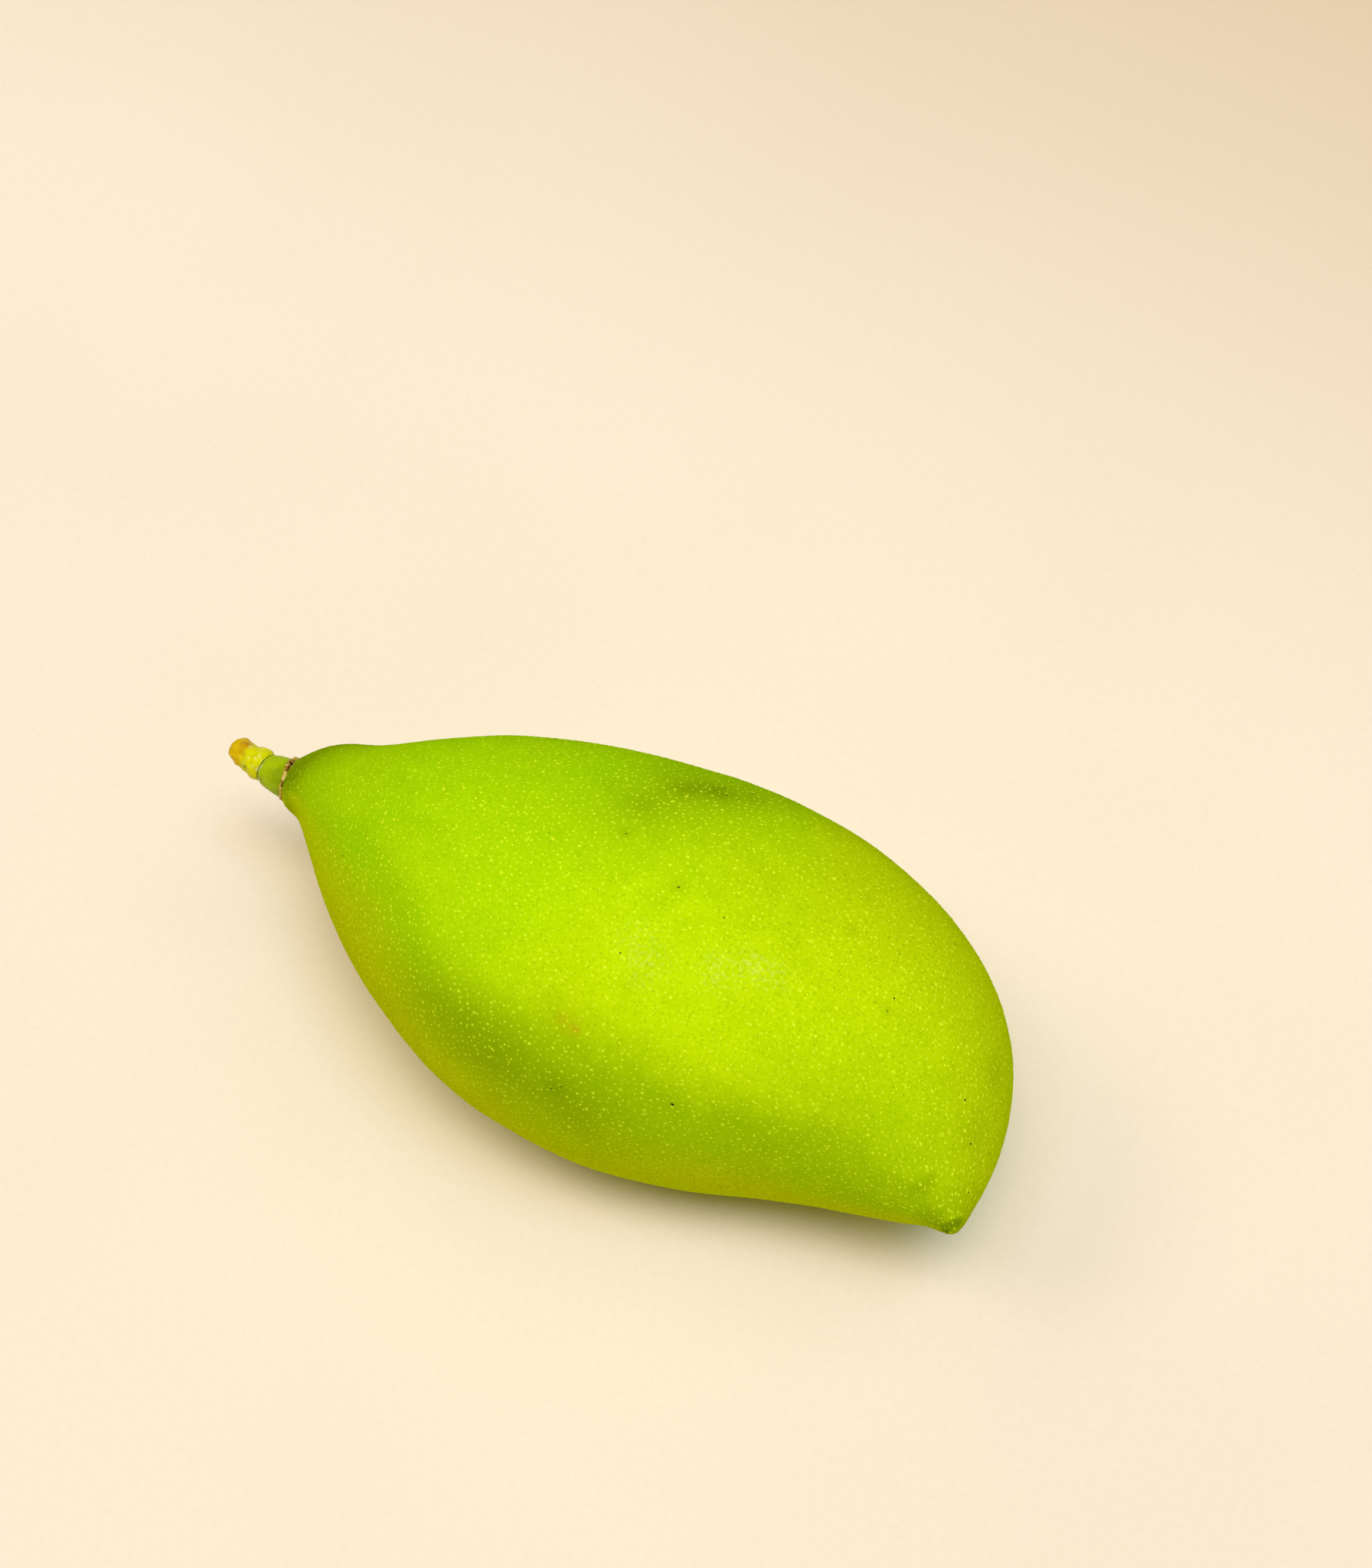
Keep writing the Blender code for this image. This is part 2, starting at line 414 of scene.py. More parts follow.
low, high = (np.array(corner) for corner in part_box("fruit"))
probeT, probeTurn = (np.linspace(0.0, end, count) for end, count in zip((1.0, 2.0 * math.pi), fruit["probe"]))
probe = fruitBody(probeT[:, None], probeTurn[None]).reshape(-1, 3)
# from the body's own frame to the solid's place: the same stem end, middle and top
moved = np.array([low[0] - probe[:, 0].min(), (low[1] + high[1] - probe[:, 1].min() - probe[:, 1].max()) / 2.0,
                  high[2] - probe[:, 2].max()])


def fruitFrame(t, turn):
    # the place on the body, its outward normal and the way to the beak, from differences a little either side
    step = 1e-3
    alongStep = fruitBody(np.clip(t + step, 0, 1), turn) - fruitBody(np.clip(t - step, 0, 1), turn)
    roundStep = fruitBody(t, turn + step) - fruitBody(t, turn - step)
    normal = np.cross(roundStep, alongStep)
    normal /= np.linalg.norm(normal, axis=-1, keepdims=True) + 1e-15
    alongStep /= np.linalg.norm(alongStep, axis=-1, keepdims=True) + 1e-15
    return fruitBody(t, turn) + moved, normal, alongStep


def fruitSkin(t, turn):
    # the body drawn in along its normal by the inset and by soft waves, and pressed flat at the floor
    place, normal, along = fruitFrame(t, turn)
    dent = ripples(place, fruit["swellWaves"], fruit["swellStart"])
    depth = fruit["inset"] + fruit["swell"] * np.clip(dent, 0.0, 1.0)
    place = place - normal * depth[..., None] * mm
    place[..., 2] = np.maximum(place[..., 2], 0.0)
    return place, normal, along


rows, columns = fruit["rows"], fruit["columns"]
ringAt = np.linspace(0.0, 1.0, rows + 1)[:-1]
turnAt = np.linspace(0.0, 2.0 * math.pi, columns, endpoint=False)
skinT, skinTurn = (grid.ravel() for grid in np.meshgrid(ringAt, turnAt, indexing="ij"))
skinPlace, skinNormal, _ = fruitSkin(skinT, skinTurn)
stemPole = skinPlace[:columns].mean(0)
beakPole = fruitBody(np.array([1.0]), np.array([0.0]))[0] + moved + np.array(fruit["tipShift"]) * mm
print("fruit skin worked out:", len(skinPlace), "points")


# the corky ring's crust, which also runs a little way onto the fruit
cork = {
    "tints": {
        "tan": (0.50, 0.35, 0.035),
        # the pale flecks are partly painted highlight and the dark crevices partly painted shade
        "pale": (0.80, 0.66, 0.22),
        "brown": (0.24, 0.10, 0.010),
        "dark": (0.035, 0.025, 0.006),
    },
    "palePatches": (1300.0, 3.0, 0.6, 0.50, 0.60),
    "brownPatches": (330.0, 3.0, 0.6, 0.48, 0.60),
    "brownShare": 0.85,
    "darkPatches": (850.0, 3.0, 0.6, 0.57, 0.64),
    "radius": 3.72,  # of the ring, in mm
    "thick": 0.33,  # radius of its crust, in mm
    "out": 0.12,  # how far it stands out from the fruit's end ring, in mm
    "rough": 0.07,
    "broadFray": (2.4, 41),  # size and seed of the waves that fray it
    "fineFray": (0.7, 43),
    "fineShare": 0.5,
    "sway": 0.06,
    "swayWaves": (3.0, 42),
    "tooth": (1500.0, 3.0, 0.6),
    "toothDepth": 0.0002,
    "toothStrength": 0.8,
    "roughness": 0.8,
    "gloss": 0.05,
    "rows": 260,
    "columns": 20,
}


def corkColour(finish):
    # golden tan with pale flecks, partly painted highlight; brown patches; and dark crevices, partly painted shade
    tints = cork["tints"]
    colour = finish.blend(finish.patches(*cork["palePatches"]), tints["tan"], tints["pale"])
    colour = finish.blend(finish.patches(*cork["brownPatches"]) * cork["brownShare"], colour, tints["brown"])
    return finish.blend(finish.patches(*cork["darkPatches"]), colour, tints["dark"])


# the skin's look. In its tones, angles go round the fruit in degrees (0 the swollen back, 90 the top, 180 the
# belly side, 270 the underside) and t along it, from 0 at the stem to 1 at the beak. A pair is where a step
# starts and ends or a bell's middle and width, and the number before a pair or two is their amount. Waves have
# a depth, a size in mm and a seed. Marks are places in the picture, with a radius in mm and a strength
skinLook = {
    "tints": {
        # the bright green also carries a band of painted light over the top
        "bright": (0.540, 0.804, 0.0008),
        "dull": (0.352, 0.588, 0.0008),
        "deep": (0.172, 0.270, 0.0008),
        "fresh": (0.240, 0.660, 0.0008),
        # the yellow of ripening, also used as painted bounce light from the floor at the rims
        "ripeAndBounce": (0.522, 0.632, 0.0010),
        "mottleAndPoreShade": (0.270, 0.450, 0.0008),
        "waxAndSheen": (0.690, 0.830, 0.110),
        "rust": (0.520, 0.330, 0.005),
        "pore": (0.720, 0.930, 0.022),
    },
    "tones": {
        "blur": [(5.0, 30.0, 23)],
        "glowBack": 83.0,
        "glowBackSteps": [(-36.0, 0.485, 0.768)],
        "glowBackSoft": 50.0,
        "glowBelly": 137.0,
        "glowBellyBends": [(7.0, 0.62, 0.035), (-7.0, 0.53, 0.035), (-4.0, 0.75, 0.05)],
        "glowBellySoft": 13.0,
        "glowAlong": (0.163, 0.525),
        "glowFade": (-0.68, 0.652, 0.928),
        "glowCloud": 0.07,
        "rimMiddle": -15.0,
        "rimRound": (147.0, 27.0),
        "rimAlong": (0.50, 0.63),
        "rimWaves": [(0.025, 24.0, 12)],
        "rimShare": 0.66,
        "under": 158.0,
        "underSteps": [(18.5, 0.45, 0.65), (13.2, 0.75, 0.90)],
        "underBlur": 0.5,
        "underSoft": 19.0,
        "underEnd": (325.0, 265.0),
        # a darker belly-side flank: partly its own tone, partly painted shade where it turns from the lamps
        "flankToneAndShade": (0.43, (160.0, 15.3), (0.558, 0.112)),
        # a dark streak over the top: partly dark marks on the skin, partly a painted shadow
        "topStreakAndShadow": (0.47, (54.0, 36.0), (0.484, 0.056)),
        "neck": (0.91, 0.215, 0.065),
        "neckTop": (0.69, 0.31, (70.0, 127.0), (330.0, 250.0)),
        "neckBelly": (0.24, [(0.45, 0.10, 0.04)], (150.0, 178.0), (340.0, 270.0)),
        "aside": ((152.0, 128.0), (290.0, 340.0)),
        "collar": (0.32, 0.125, 0.055),
        "foot": (0.2, 0.012, 0.003),
        "gold": (0.6, (161.0, 9.0), (0.06, 0.11), (0.34, 0.17)),
        "front": ((20.0, 70.0), (200.0, 165.0)),
        # the bump's lightening is a painted highlight, and the saddle's darkening below is painted shade
        "bump": (-0.45, (118.0, 26.0), (0.9715, 0.0035)),
        "saddleShade": (0.62, (0.973, 0.979), (0.990, 0.984)),
        "saddleShadeFront": (0.55, 0.45),
        "beak": (0.40, 0.93, 0.962),
        "beakFront": (0.75, 0.25),
        "cloud": [(1.0, 20.0, 17), (0.5, 7.0, 18)],
        "freshAlong": ((0.60, 0.46), (0.06, 0.25)),
        "freshRound": ((0.0, 40.0), (160.0, 138.0)),
        "ripeAndBounceWaves": [(0.05, 26.0, 11)],
        "deepShare": 0.89,
        "deepCloud": 0.04,
        "scab": (0.0062, 0.0034),
        "scabWaves": [(0.0012, 1.6, 27)],
        "scabRound": ((215.0, 160.0), (290.0, 340.0)),
    },
    "marks": {
        # dark green smudges: partly blotches of the skin, partly painted shade, such as along the top edge and in
        # the saddle before the beak
        "smudgesAndShade": [(884, 1160, 1.3, 0.32), (818, 1087, 1.1, 0.32), (1160, 1320, 0.9, 0.32), (1203, 1552, 1.6, 0.4),
                    (1216, 1539, 1.0, 0.4), (890, 1030, 3.2, 0.35), (940, 1036, 3.4, 0.5), (985, 1046, 2.6, 0.3),
                    (840, 1050, 3.4, 0.25), (1236, 1600, 1.8, 0.55), (725, 1418, 1.8, 0.2), (750, 1450, 5.5, 0.28),
                    (580, 1300, 7.0, 0.16), (1300, 1400, 3.0, 0.3), (1272, 1482, 3.4, 0.25),
                    (1110, 1215, 1.2, 0.35), (876, 1443, 1.2, 0.15), (640, 1370, 6.0, 0.15),
                    (1140, 1175, 2.0, 0.2)],
        "rust": [(749.5, 1346, 0.55, 1.0), (733, 1330, 0.9, 0.35), (742, 1338, 1.8, 0.3)],
        # pale waxy scuffs, partly a painted sheen where the skin catches the light
        "waxAndSheen": [(980, 1264, 2.2, 1.0), (940, 1270, 2.6, 0.6), (1012, 1274, 2.2, 0.5), (845, 1262, 2.8, 0.5),
                (830, 1225, 3.0, 0.3)],
    },
    "cloud": (240.0, 3.0, 0.6),
    "cloudShare": 0.9,
    "freshShare": 0.3,
    "mottleAndPoreShadePatches": (2100.0, 3.0, 0.6, 0.50, 0.70),
    "mottleAndPoreShadeShare": (0.45, 0.4),  # everywhere, and more where it is yellow
    "waxAndSheenPatches": (1500.0, 3.0, 0.6, 0.48, 0.60),
    "waxAndSheenShare": 0.6,
    "rustShare": 0.8,
    "finePeel": (1400.0, 2.0, 0.5),
    "finePeelShare": 0.6,
    "broadPeel": (380.0, 2.0, 0.5),
    "broadPeelShare": 0.4,
    "peelDepth": 0.00006,
    "peelStrength": 0.8,
    "sheen": (260.0, 2.0, 0.5),
    "roughness": (0.44, 0.12),  # least, and more where the sheen's noise is high
    "gloss": 0.0,
}
facing = 0.05  # the skin shows where its normal leans this much toward the camera
seen = (skinNormal @ back) > facing
skinPixel = toFrame(skinPlace)


def onSkin(x, y):
    # the skin point that is nearest to a place in the picture, among those that face the camera
    gap = np.hypot(skinPixel[:, 0] - x, skinPixel[:, 1] - y) + np.where(seen, 0.0, 1e6)
    return int(np.argmin(gap))


def spread(points, spots):
    # sum of bell curves round the spots, each with its own radius and strength
    total = np.zeros(len(points))
    for x, y, radius, strength in spots:
        away = np.linalg.norm(points - skinPlace[onSkin(x, y)], axis=1)
        total += strength * bell(away, 0.0, radius * mm)
    return np.clip(total, 0.0, 1.0)


def skinTones(points, t, turn):
    # how bright, fresh, yellow, deep green, corky, waxy and rusty the skin is, from 0 to 1: products of smooth
    # steps and bells along t and round the turn, with waves in their edges, and the marks. The bright band,
    # the yellow rims and some of the deep green are partly painted light and shade, the waxy marks partly a
    # painted sheen
    tones, marks = skinLook["tones"], skinLook["marks"]
    angle = np.degrees(turn) % 360.0
    blur = ripples(points, tones["blur"])
    cloud = ripples(points, tones["cloud"])

    def inBand(value, bands):
        # the product of two steps: one in and one out
        return smooth(*bands[0], value) * smooth(*bands[1], value)

    def patch(amount, roundBell, alongBell):
        # a soft oval patch
        return amount * bell(angle, *roundBell) * bell(t, *alongBell)

    # a bright band over the top, which reaches further toward the back nearer the beak: partly the skin's own
    # brighter green, partly painted light where the top faces the lamps
    edge = stepped(tones["glowBack"], tones["glowBackSteps"], t) + blur
    belly = tones["glowBelly"] + blur
    for shift, middle, width in tones["glowBellyBends"]:
        belly = belly + shift * bell(t, middle, width)
    glow = smooth(edge - tones["glowBackSoft"], edge + tones["glowBackSoft"], angle)
    glow = glow * smooth(belly + tones["glowBellySoft"], belly - tones["glowBellySoft"], angle)
    glow = glow * smooth(*tones["glowAlong"], t) * stepped(1.0, [tones["glowFade"]], t)

    # yellow along the back's rim, and where the belly side turns under: partly ripening, partly painted bounce
    # light from the floor
    fromBack = np.abs((angle - tones["rimMiddle"] + 180.0) % 360.0 - 180.0)
    rim = tones["rimShare"] * smooth(*tones["rimRound"], fromBack)
    rim = rim * smooth(*tones["rimAlong"], ripples(points, tones["rimWaves"], t))
    turns = stepped(tones["under"], tones["underSteps"], t) + blur * tones["underBlur"]
    under = smooth(turns - tones["underSoft"], turns + tones["underSoft"], angle)
    under = under * smooth(*tones["underEnd"], angle)

    # a golden streak from the belly side of the collar along the flank
    amount, roundBell, starts, stops = tones["gold"]
    gold = amount * bell(angle, *roundBell) * inBand(t, (starts, stops))

    # deep green at the neck, less on its underside and least below its golden streak
    base, more, *bands = tones["neckTop"]
    side = base + more * inBand(angle, bands)
    base, steps, *bands = tones["neckBelly"]
    side = side * (1.0 - stepped(base, steps, t) * inBand(angle, bands))
    aside = sum(smooth(*band, angle) for band in tones["aside"])
    neck = stepped(0.0, [tones["neck"]], t) * side
    neck = neck + stepped(0.0, [tones["collar"]], t) * aside + stepped(0.0, [tones["foot"]], t)

    # the beak: a dark end with a bump lightened by a painted highlight before a saddle darkened by painted shade,
    # all plainest in front
    front = inBand(angle, tones["front"])
    amount, *bands = tones["saddleShade"]
    base, more = tones["saddleShadeFront"]
    saddleShade = amount * inBand(t, bands) * (base + more * front)
    beak = stepped(0.0, [tones["beak"]], t) + patch(*tones["bump"]) + saddleShade
    base, more = tones["beakFront"]
    beak = beak * (base + more * front)

    deep = patch(*tones["flankToneAndShade"]) + patch(*tones["topStreakAndShadow"]) + neck * (1.0 - gold) + beak
    deep = deep + tones["deepCloud"] * cloud + spread(points, marks["smudgesAndShade"])
    scabRound = sum(smooth(*band, angle) for band in tones["scabRound"])
    return {
        "glow": np.clip(glow + tones["glowCloud"] * cloud, 0.0, 1.0),
        "fresh": inBand(t, tones["freshAlong"]) * inBand(angle, tones["freshRound"]),
        "ripeAndBounce": np.clip(ripples(points, tones["ripeAndBounceWaves"], np.maximum(np.maximum(rim, under), gold)), 0.0, 1.0),
        "deep": np.clip(tones["deepShare"] * deep, 0.0, 1.0),
        "scab": smooth(*tones["scab"], ripples(points, tones["scabWaves"], t)) * scabRound,
        "waxAndSheen": spread(points, marks["waxAndSheen"]),
        "rust": spread(points, marks["rust"]),
    }


def skinColour(finish):
    # bright, fresh, yellow and deep green where the values say, some of it painted light and shade, finely clouded
    # and flecked with partly painted shade, then the marks, among them waxy scuffs partly painted as sheen
    tints = skinLook["tints"]
    cloud = (finish.noise(*skinLook["cloud"]) - 0.5) * skinLook["cloudShare"]
    colour = finish.blend(finish.value("glow") + cloud, tints["dull"], tints["bright"])
    colour = finish.blend(finish.value("fresh") * skinLook["freshShare"], colour, tints["fresh"])
    colour = finish.blend(finish.value("ripeAndBounce"), colour, tints["ripeAndBounce"])
    colour = finish.blend(finish.value("deep"), colour, tints["deep"])
    # fine dark mottling: partly the skin's own, partly painted shade beside the pores
    everywhere, whereYellow = skinLook["mottleAndPoreShadeShare"]
    mottleAndPoreShade = finish.patches(*skinLook["mottleAndPoreShadePatches"]) * (everywhere + whereYellow * finish.value("ripeAndBounce"))
    colour = finish.blend(mottleAndPoreShade, colour, tints["mottleAndPoreShade"])
    # pale waxy scuffs, partly a painted sheen where the skin catches the light
    waxAndSheenMask = finish.value("waxAndSheen") * finish.patches(*skinLook["waxAndSheenPatches"])
    colour = finish.blend(waxAndSheenMask * skinLook["waxAndSheenShare"], colour, tints["waxAndSheen"])
    colour = finish.blend(finish.value("rust") * skinLook["rustShare"], colour, tints["rust"])
    return finish.blend(finish.value("scab"), colour, corkColour(finish))


skinFinish = Finish("skin")
peel = skinFinish.noise(*skinLook["finePeel"]) * skinLook["finePeelShare"]
peel = peel + skinFinish.noise(*skinLook["broadPeel"]) * skinLook["broadPeelShare"]
leastRough, moreRough = skinLook["roughness"]
sheen = skinFinish.noise(*skinLook["sheen"]) * moreRough + leastRough
skinBump = skinFinish.bump(peel, skinLook["peelDepth"], skinLook["peelStrength"])
skinMaterial = skinFinish.close(skinColour(skinFinish), sheen, skinBump, Specular_IOR_Level=skinLook["gloss"])

skinFaces, skinChart = tubeFaces(rows, columns)
allPlace = np.concatenate([skinPlace, [stemPole, beakPole]])
allT = np.concatenate([skinT, [0.0, 1.0]])
allTurn = np.concatenate([skinTurn, [math.pi / 2.0] * 2])
skin = makePiece("fruitSkin", allPlace, skinFaces, skinChart, skinTones(allPlace, allT, allTurn))
skin.data.materials.append(skinMaterial)
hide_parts("fruit")
print("fruit skin made:", len(skinFaces), "triangles")


# pores: pale low domes all over the skin, on a golden-angle spiral that gives each the same room. Steps along
# the fruit have an amount and two ends
pores = {
    "count": 20500,
    "radius": 0.26,  # mm
    "height": 0.05,  # mm
    "sides": 6,
    "jitter": 0.27,  # share of the spacing
    "seed": 8,
    "grid": (500, 360),  # rows and columns that the fruit's area is measured with
    "lookups": 720,
    "measured": (0.004, 0.9995),  # first and last row's place along the fruit
    "kept": (0.006, 0.9985),  # no pore lies past these
    "crowd": [(0.2, 0.4, 0.1), (0.3, 0.72, 0.9)],
    "sizeSpread": 0.24,
    "sizeLimits": (0.55, 1.7),
    "size": 0.84,
    "sizeSteps": [(0.16, 0.1, 0.45), (-0.16, 0.75, 0.92), (-0.12, 0.95, 0.99)],
    "stretchSteps": [(0.6, 0.84, 0.95)],
    "stretchSpread": 0.35,
    "pale": (0.62, 0.26),  # mean and spread
    "paleLimits": (0.10, 1.0),
    "paleShare": 0.32,
    "paleSteps": [(0.68, 0.02, 0.36), (0.10, 0.75, 0.92), (-0.40, 0.95, 0.985)],
    "paleUnder": (-0.45, 0.1, -0.6),  # by how far the skin faces up
    "core": (0.0, 0.85),
    "roughness": 0.42,
    "gloss": 0.0,
}
dome = {
    "sink": 0.012,  # how far a dome's rim lies in the skin, in mm
    "cell": 0.36,  # its radius in its own square of the chart
}


def fanPiece(name, place, normal, along, radii, stretch, height, sides, values):
    # low domes: a raised middle and a rim of points on the skin, longer along the fruit by the stretch
    count = len(place)
    side = np.cross(normal, along)
    side /= np.linalg.norm(side, axis=1)[:, None]
    ahead = np.cross(side, normal)
    angle = np.linspace(0.0, 2.0 * math.pi, sides, endpoint=False)
    rim = (ahead[:, None] * (np.cos(angle)[None, :, None] * (radii * stretch)[:, None, None])
           + side[:, None] * (np.sin(angle)[None, :, None] * radii[:, None, None])) * mm
    ring = place[:, None] + rim - normal[:, None] * dome["sink"] * mm
    middle = place + normal * (height * mm)[:, None]
    points = np.concatenate([middle[:, None], ring], 1).reshape(-1, 3)
    points[:, 2] = np.maximum(points[:, 2], 0.0)
    j = np.arange(sides)
    fan = np.stack([np.zeros(sides, int), 1 + j, 1 + (j + 1) % sides], -1)
    faces = (fan[None] + (np.arange(count) * (sides + 1))[:, None, None]).reshape(-1, 3)
    wide = math.ceil(math.sqrt(count))
    cell = np.stack([np.arange(count) % wide, np.arange(count) // wide], -1) + 0.5
    local = np.concatenate([[(0.0, 0.0)], np.stack([np.cos(angle), np.sin(angle)], -1) * dome["cell"]])
    chart = ((cell[:, None] + local[None]) / wide).reshape(-1, 2)[faces]
    return makePiece(name, points, faces, chart, values)


def spiralPlaces(count, seed, jitter):
    # equal steps of weighted area set t, equal golden turns of the girth set the angle, then a random shift
    tRows, turnColumns = pores["grid"]
    tLine = np.linspace(*pores["measured"], tRows)
    turnLine = np.linspace(0.0, 2.0 * math.pi, turnColumns + 1)
    grid = fruitBody(tLine[:, None], turnLine[None])
    girth = np.linalg.norm(np.diff(grid, axis=1), axis=2)
    length = np.linalg.norm(np.gradient(grid, axis=0), axis=2)[:, :-1]
    area = np.cumsum((girth * length).sum(1) * stepped(1.0, pores["crowd"], tLine))
    area = (area - area[0]) / (area[-1] - area[0])
    pick = np.random.default_rng(seed)
    t = np.interp((np.arange(count) + 0.5) / count, area, tLine)
    share = np.cumsum(girth, 1)
    total = share[:, -1]
    fraction = (np.arange(count) * (math.sqrt(5.0) - 1.0) / 2.0) % 1.0
    spacing = math.sqrt((girth * length).sum() / count)
    row = np.clip(np.searchsorted(tLine, t), 0, tRows - 1)
    t = t + pick.normal(0.0, jitter, count) * spacing / length.mean(1)[row] * (tLine[1] - tLine[0])
    fraction = (fraction + pick.normal(0.0, jitter, count) * spacing / total[row]) % 1.0
    t = np.clip(t, *pores["kept"])
    row = np.clip(np.searchsorted(tLine, t), 0, tRows - 1)
    # a table from each row's share of its girth to the turn, read between its two nearest entries
    lookups = pores["lookups"]
    shares = np.linspace(0, 1, lookups + 1)
    table = np.stack([np.interp(shares, np.concatenate([[0], line / line[-1]]), turnLine) for line in share])
    spot = fraction * lookups
    left = np.floor(spot).astype(int)
    turn = table[row, left] * (1 - (spot - left)) + table[row, np.minimum(left + 1, lookups)] * (spot - left)
    return t, turn


poreT, poreTurn = spiralPlaces(pores["count"], pores["seed"], pores["jitter"])
porePlace, poreNormal, poreAlong = fruitSkin(poreT, poreTurn)
pick = np.random.default_rng(pores["seed"] + 1)
poreSize = np.clip(pick.lognormal(0.0, pores["sizeSpread"], len(poreT)), *pores["sizeLimits"])
poreSize *= stepped(pores["size"], pores["sizeSteps"], poreT)
poreStretch = stepped(1.0, pores["stretchSteps"], poreT) + pick.uniform(0.0, pores["stretchSpread"], len(poreT))
pale = np.clip(pick.normal(*pores["pale"], len(poreT)), *pores["paleLimits"])
pale *= stepped(pores["paleShare"], pores["paleSteps"], poreT)
pale *= stepped(1.0, [pores["paleUnder"]], poreNormal[:, 2])
poreCorners = pores["sides"] + 1
poreTones = skinTones(porePlace, poreT, poreTurn)
poreValues = {key: np.repeat(value, poreCorners) for key, value in poreTones.items()}
poreValues["middle"] = np.tile([1.0] + [0.0] * pores["sides"], len(poreT))
poreValues["pale"] = np.repeat(pale, poreCorners)
porePiece = fanPiece("pores", porePlace, poreNormal, poreAlong, pores["radius"] * poreSize, poreStretch,
                     pores["height"] * poreSize, pores["sides"], poreValues)
poreFinish = Finish("pore")
poreCore = poreFinish.mask(poreFinish.value("middle"), *pores["core"]) * poreFinish.value("pale")
poreTint = poreFinish.blend(poreCore, skinColour(poreFinish), skinLook["tints"]["pore"])
porePiece.data.materials.append(poreFinish.close(poreTint, pores["roughness"], Specular_IOR_Level=pores["gloss"]))
print("pores made:", len(poreT))


# specks: dark pinpricks where the picture shows them, each a place in it, a radius in mm and a stretch, and
# more at random on the sides it doesn't show
specks = {
    "seen": [(876, 1443, 0.30, 1.2), (447, 1116, 0.17, 1.1), (810, 1248, 0.17, 1.0), (947, 1197, 0.17, 1.0),
             (920.5, 1016, 0.17, 1.3), (893, 1029, 0.13, 1.5), (945, 1031, 0.15, 1.2), (951, 1038, 0.13, 1.4),
             (982, 1037, 0.19, 2.2), (1249, 1232, 0.19, 1.2), (1169, 1304, 0.17, 1.3), (1261, 1438.6, 0.20, 1.1),
             (1269, 1495, 0.19, 1.2), (1267, 1496, 0.12, 1.0), (1272, 1525, 0.13, 1.1), (1265, 1557, 0.15, 1.1),
             (719, 1421.5, 0.14, 1.2), (735, 1420.5, 0.14, 1.2), (718, 1087, 0.10, 1.0), (1108.5, 1174, 0.12, 1.0),
             (1211, 1413, 0.10, 1.0), (1141, 1310, 0.10, 1.0), (1293, 1508, 0.13, 1.1), (1236, 1609, 0.20, 1.3),
             (884, 1160, 0.16, 1.6), (818, 1087, 0.13, 1.3), (1160, 1321, 0.12, 1.3)],
    "hidden": 60,
    "hiddenRadius": (0.09, 0.2),
    "hiddenStretch": (1.0, 1.4),
    "hiddenShift": 0.002,  # along the fruit, off the pore whose place it takes
    "awayFrom": -0.05,  # the far side's normals lean at least this much away from the camera
    "seed": 21,
    "height": 0.055,  # mm
    "sides": 10,
    "colour": (0.012, 0.02, 0.004),
    "roughness": 0.6,
    "gloss": 0.2,
}
pick = np.random.default_rng(specks["seed"])
order = pick.permutation(len(poreT))
away = order[(poreNormal[order] @ back) < specks["awayFrom"]][:specks["hidden"]]
spots = np.array(specks["seen"])
found = np.array([onSkin(x, y) for x, y, _, _ in specks["seen"]])
speckT = np.concatenate([skinT[found], poreT[away] + specks["hiddenShift"]])
speckTurn = np.concatenate([skinTurn[found], poreTurn[away]])
speckPlace, speckNormal, speckAlong = fruitSkin(speckT, speckTurn)
speckRadii = np.concatenate([spots[:, 2], pick.uniform(*specks["hiddenRadius"], len(away))])
speckStretch = np.concatenate([spots[:, 3], pick.uniform(*specks["hiddenStretch"], len(away))])
speckHeight = np.full(len(speckT), specks["height"])
speckPiece = fanPiece("specks", speckPlace, speckNormal, speckAlong, speckRadii, speckStretch, speckHeight,
                      specks["sides"], {})
speckFinish = Finish("speck")
speckPiece.data.materials.append(speckFinish.close(specks["colour"], specks["roughness"],
                                                   Specular_IOR_Level=specks["gloss"]))
print("specks made:", len(speckT))


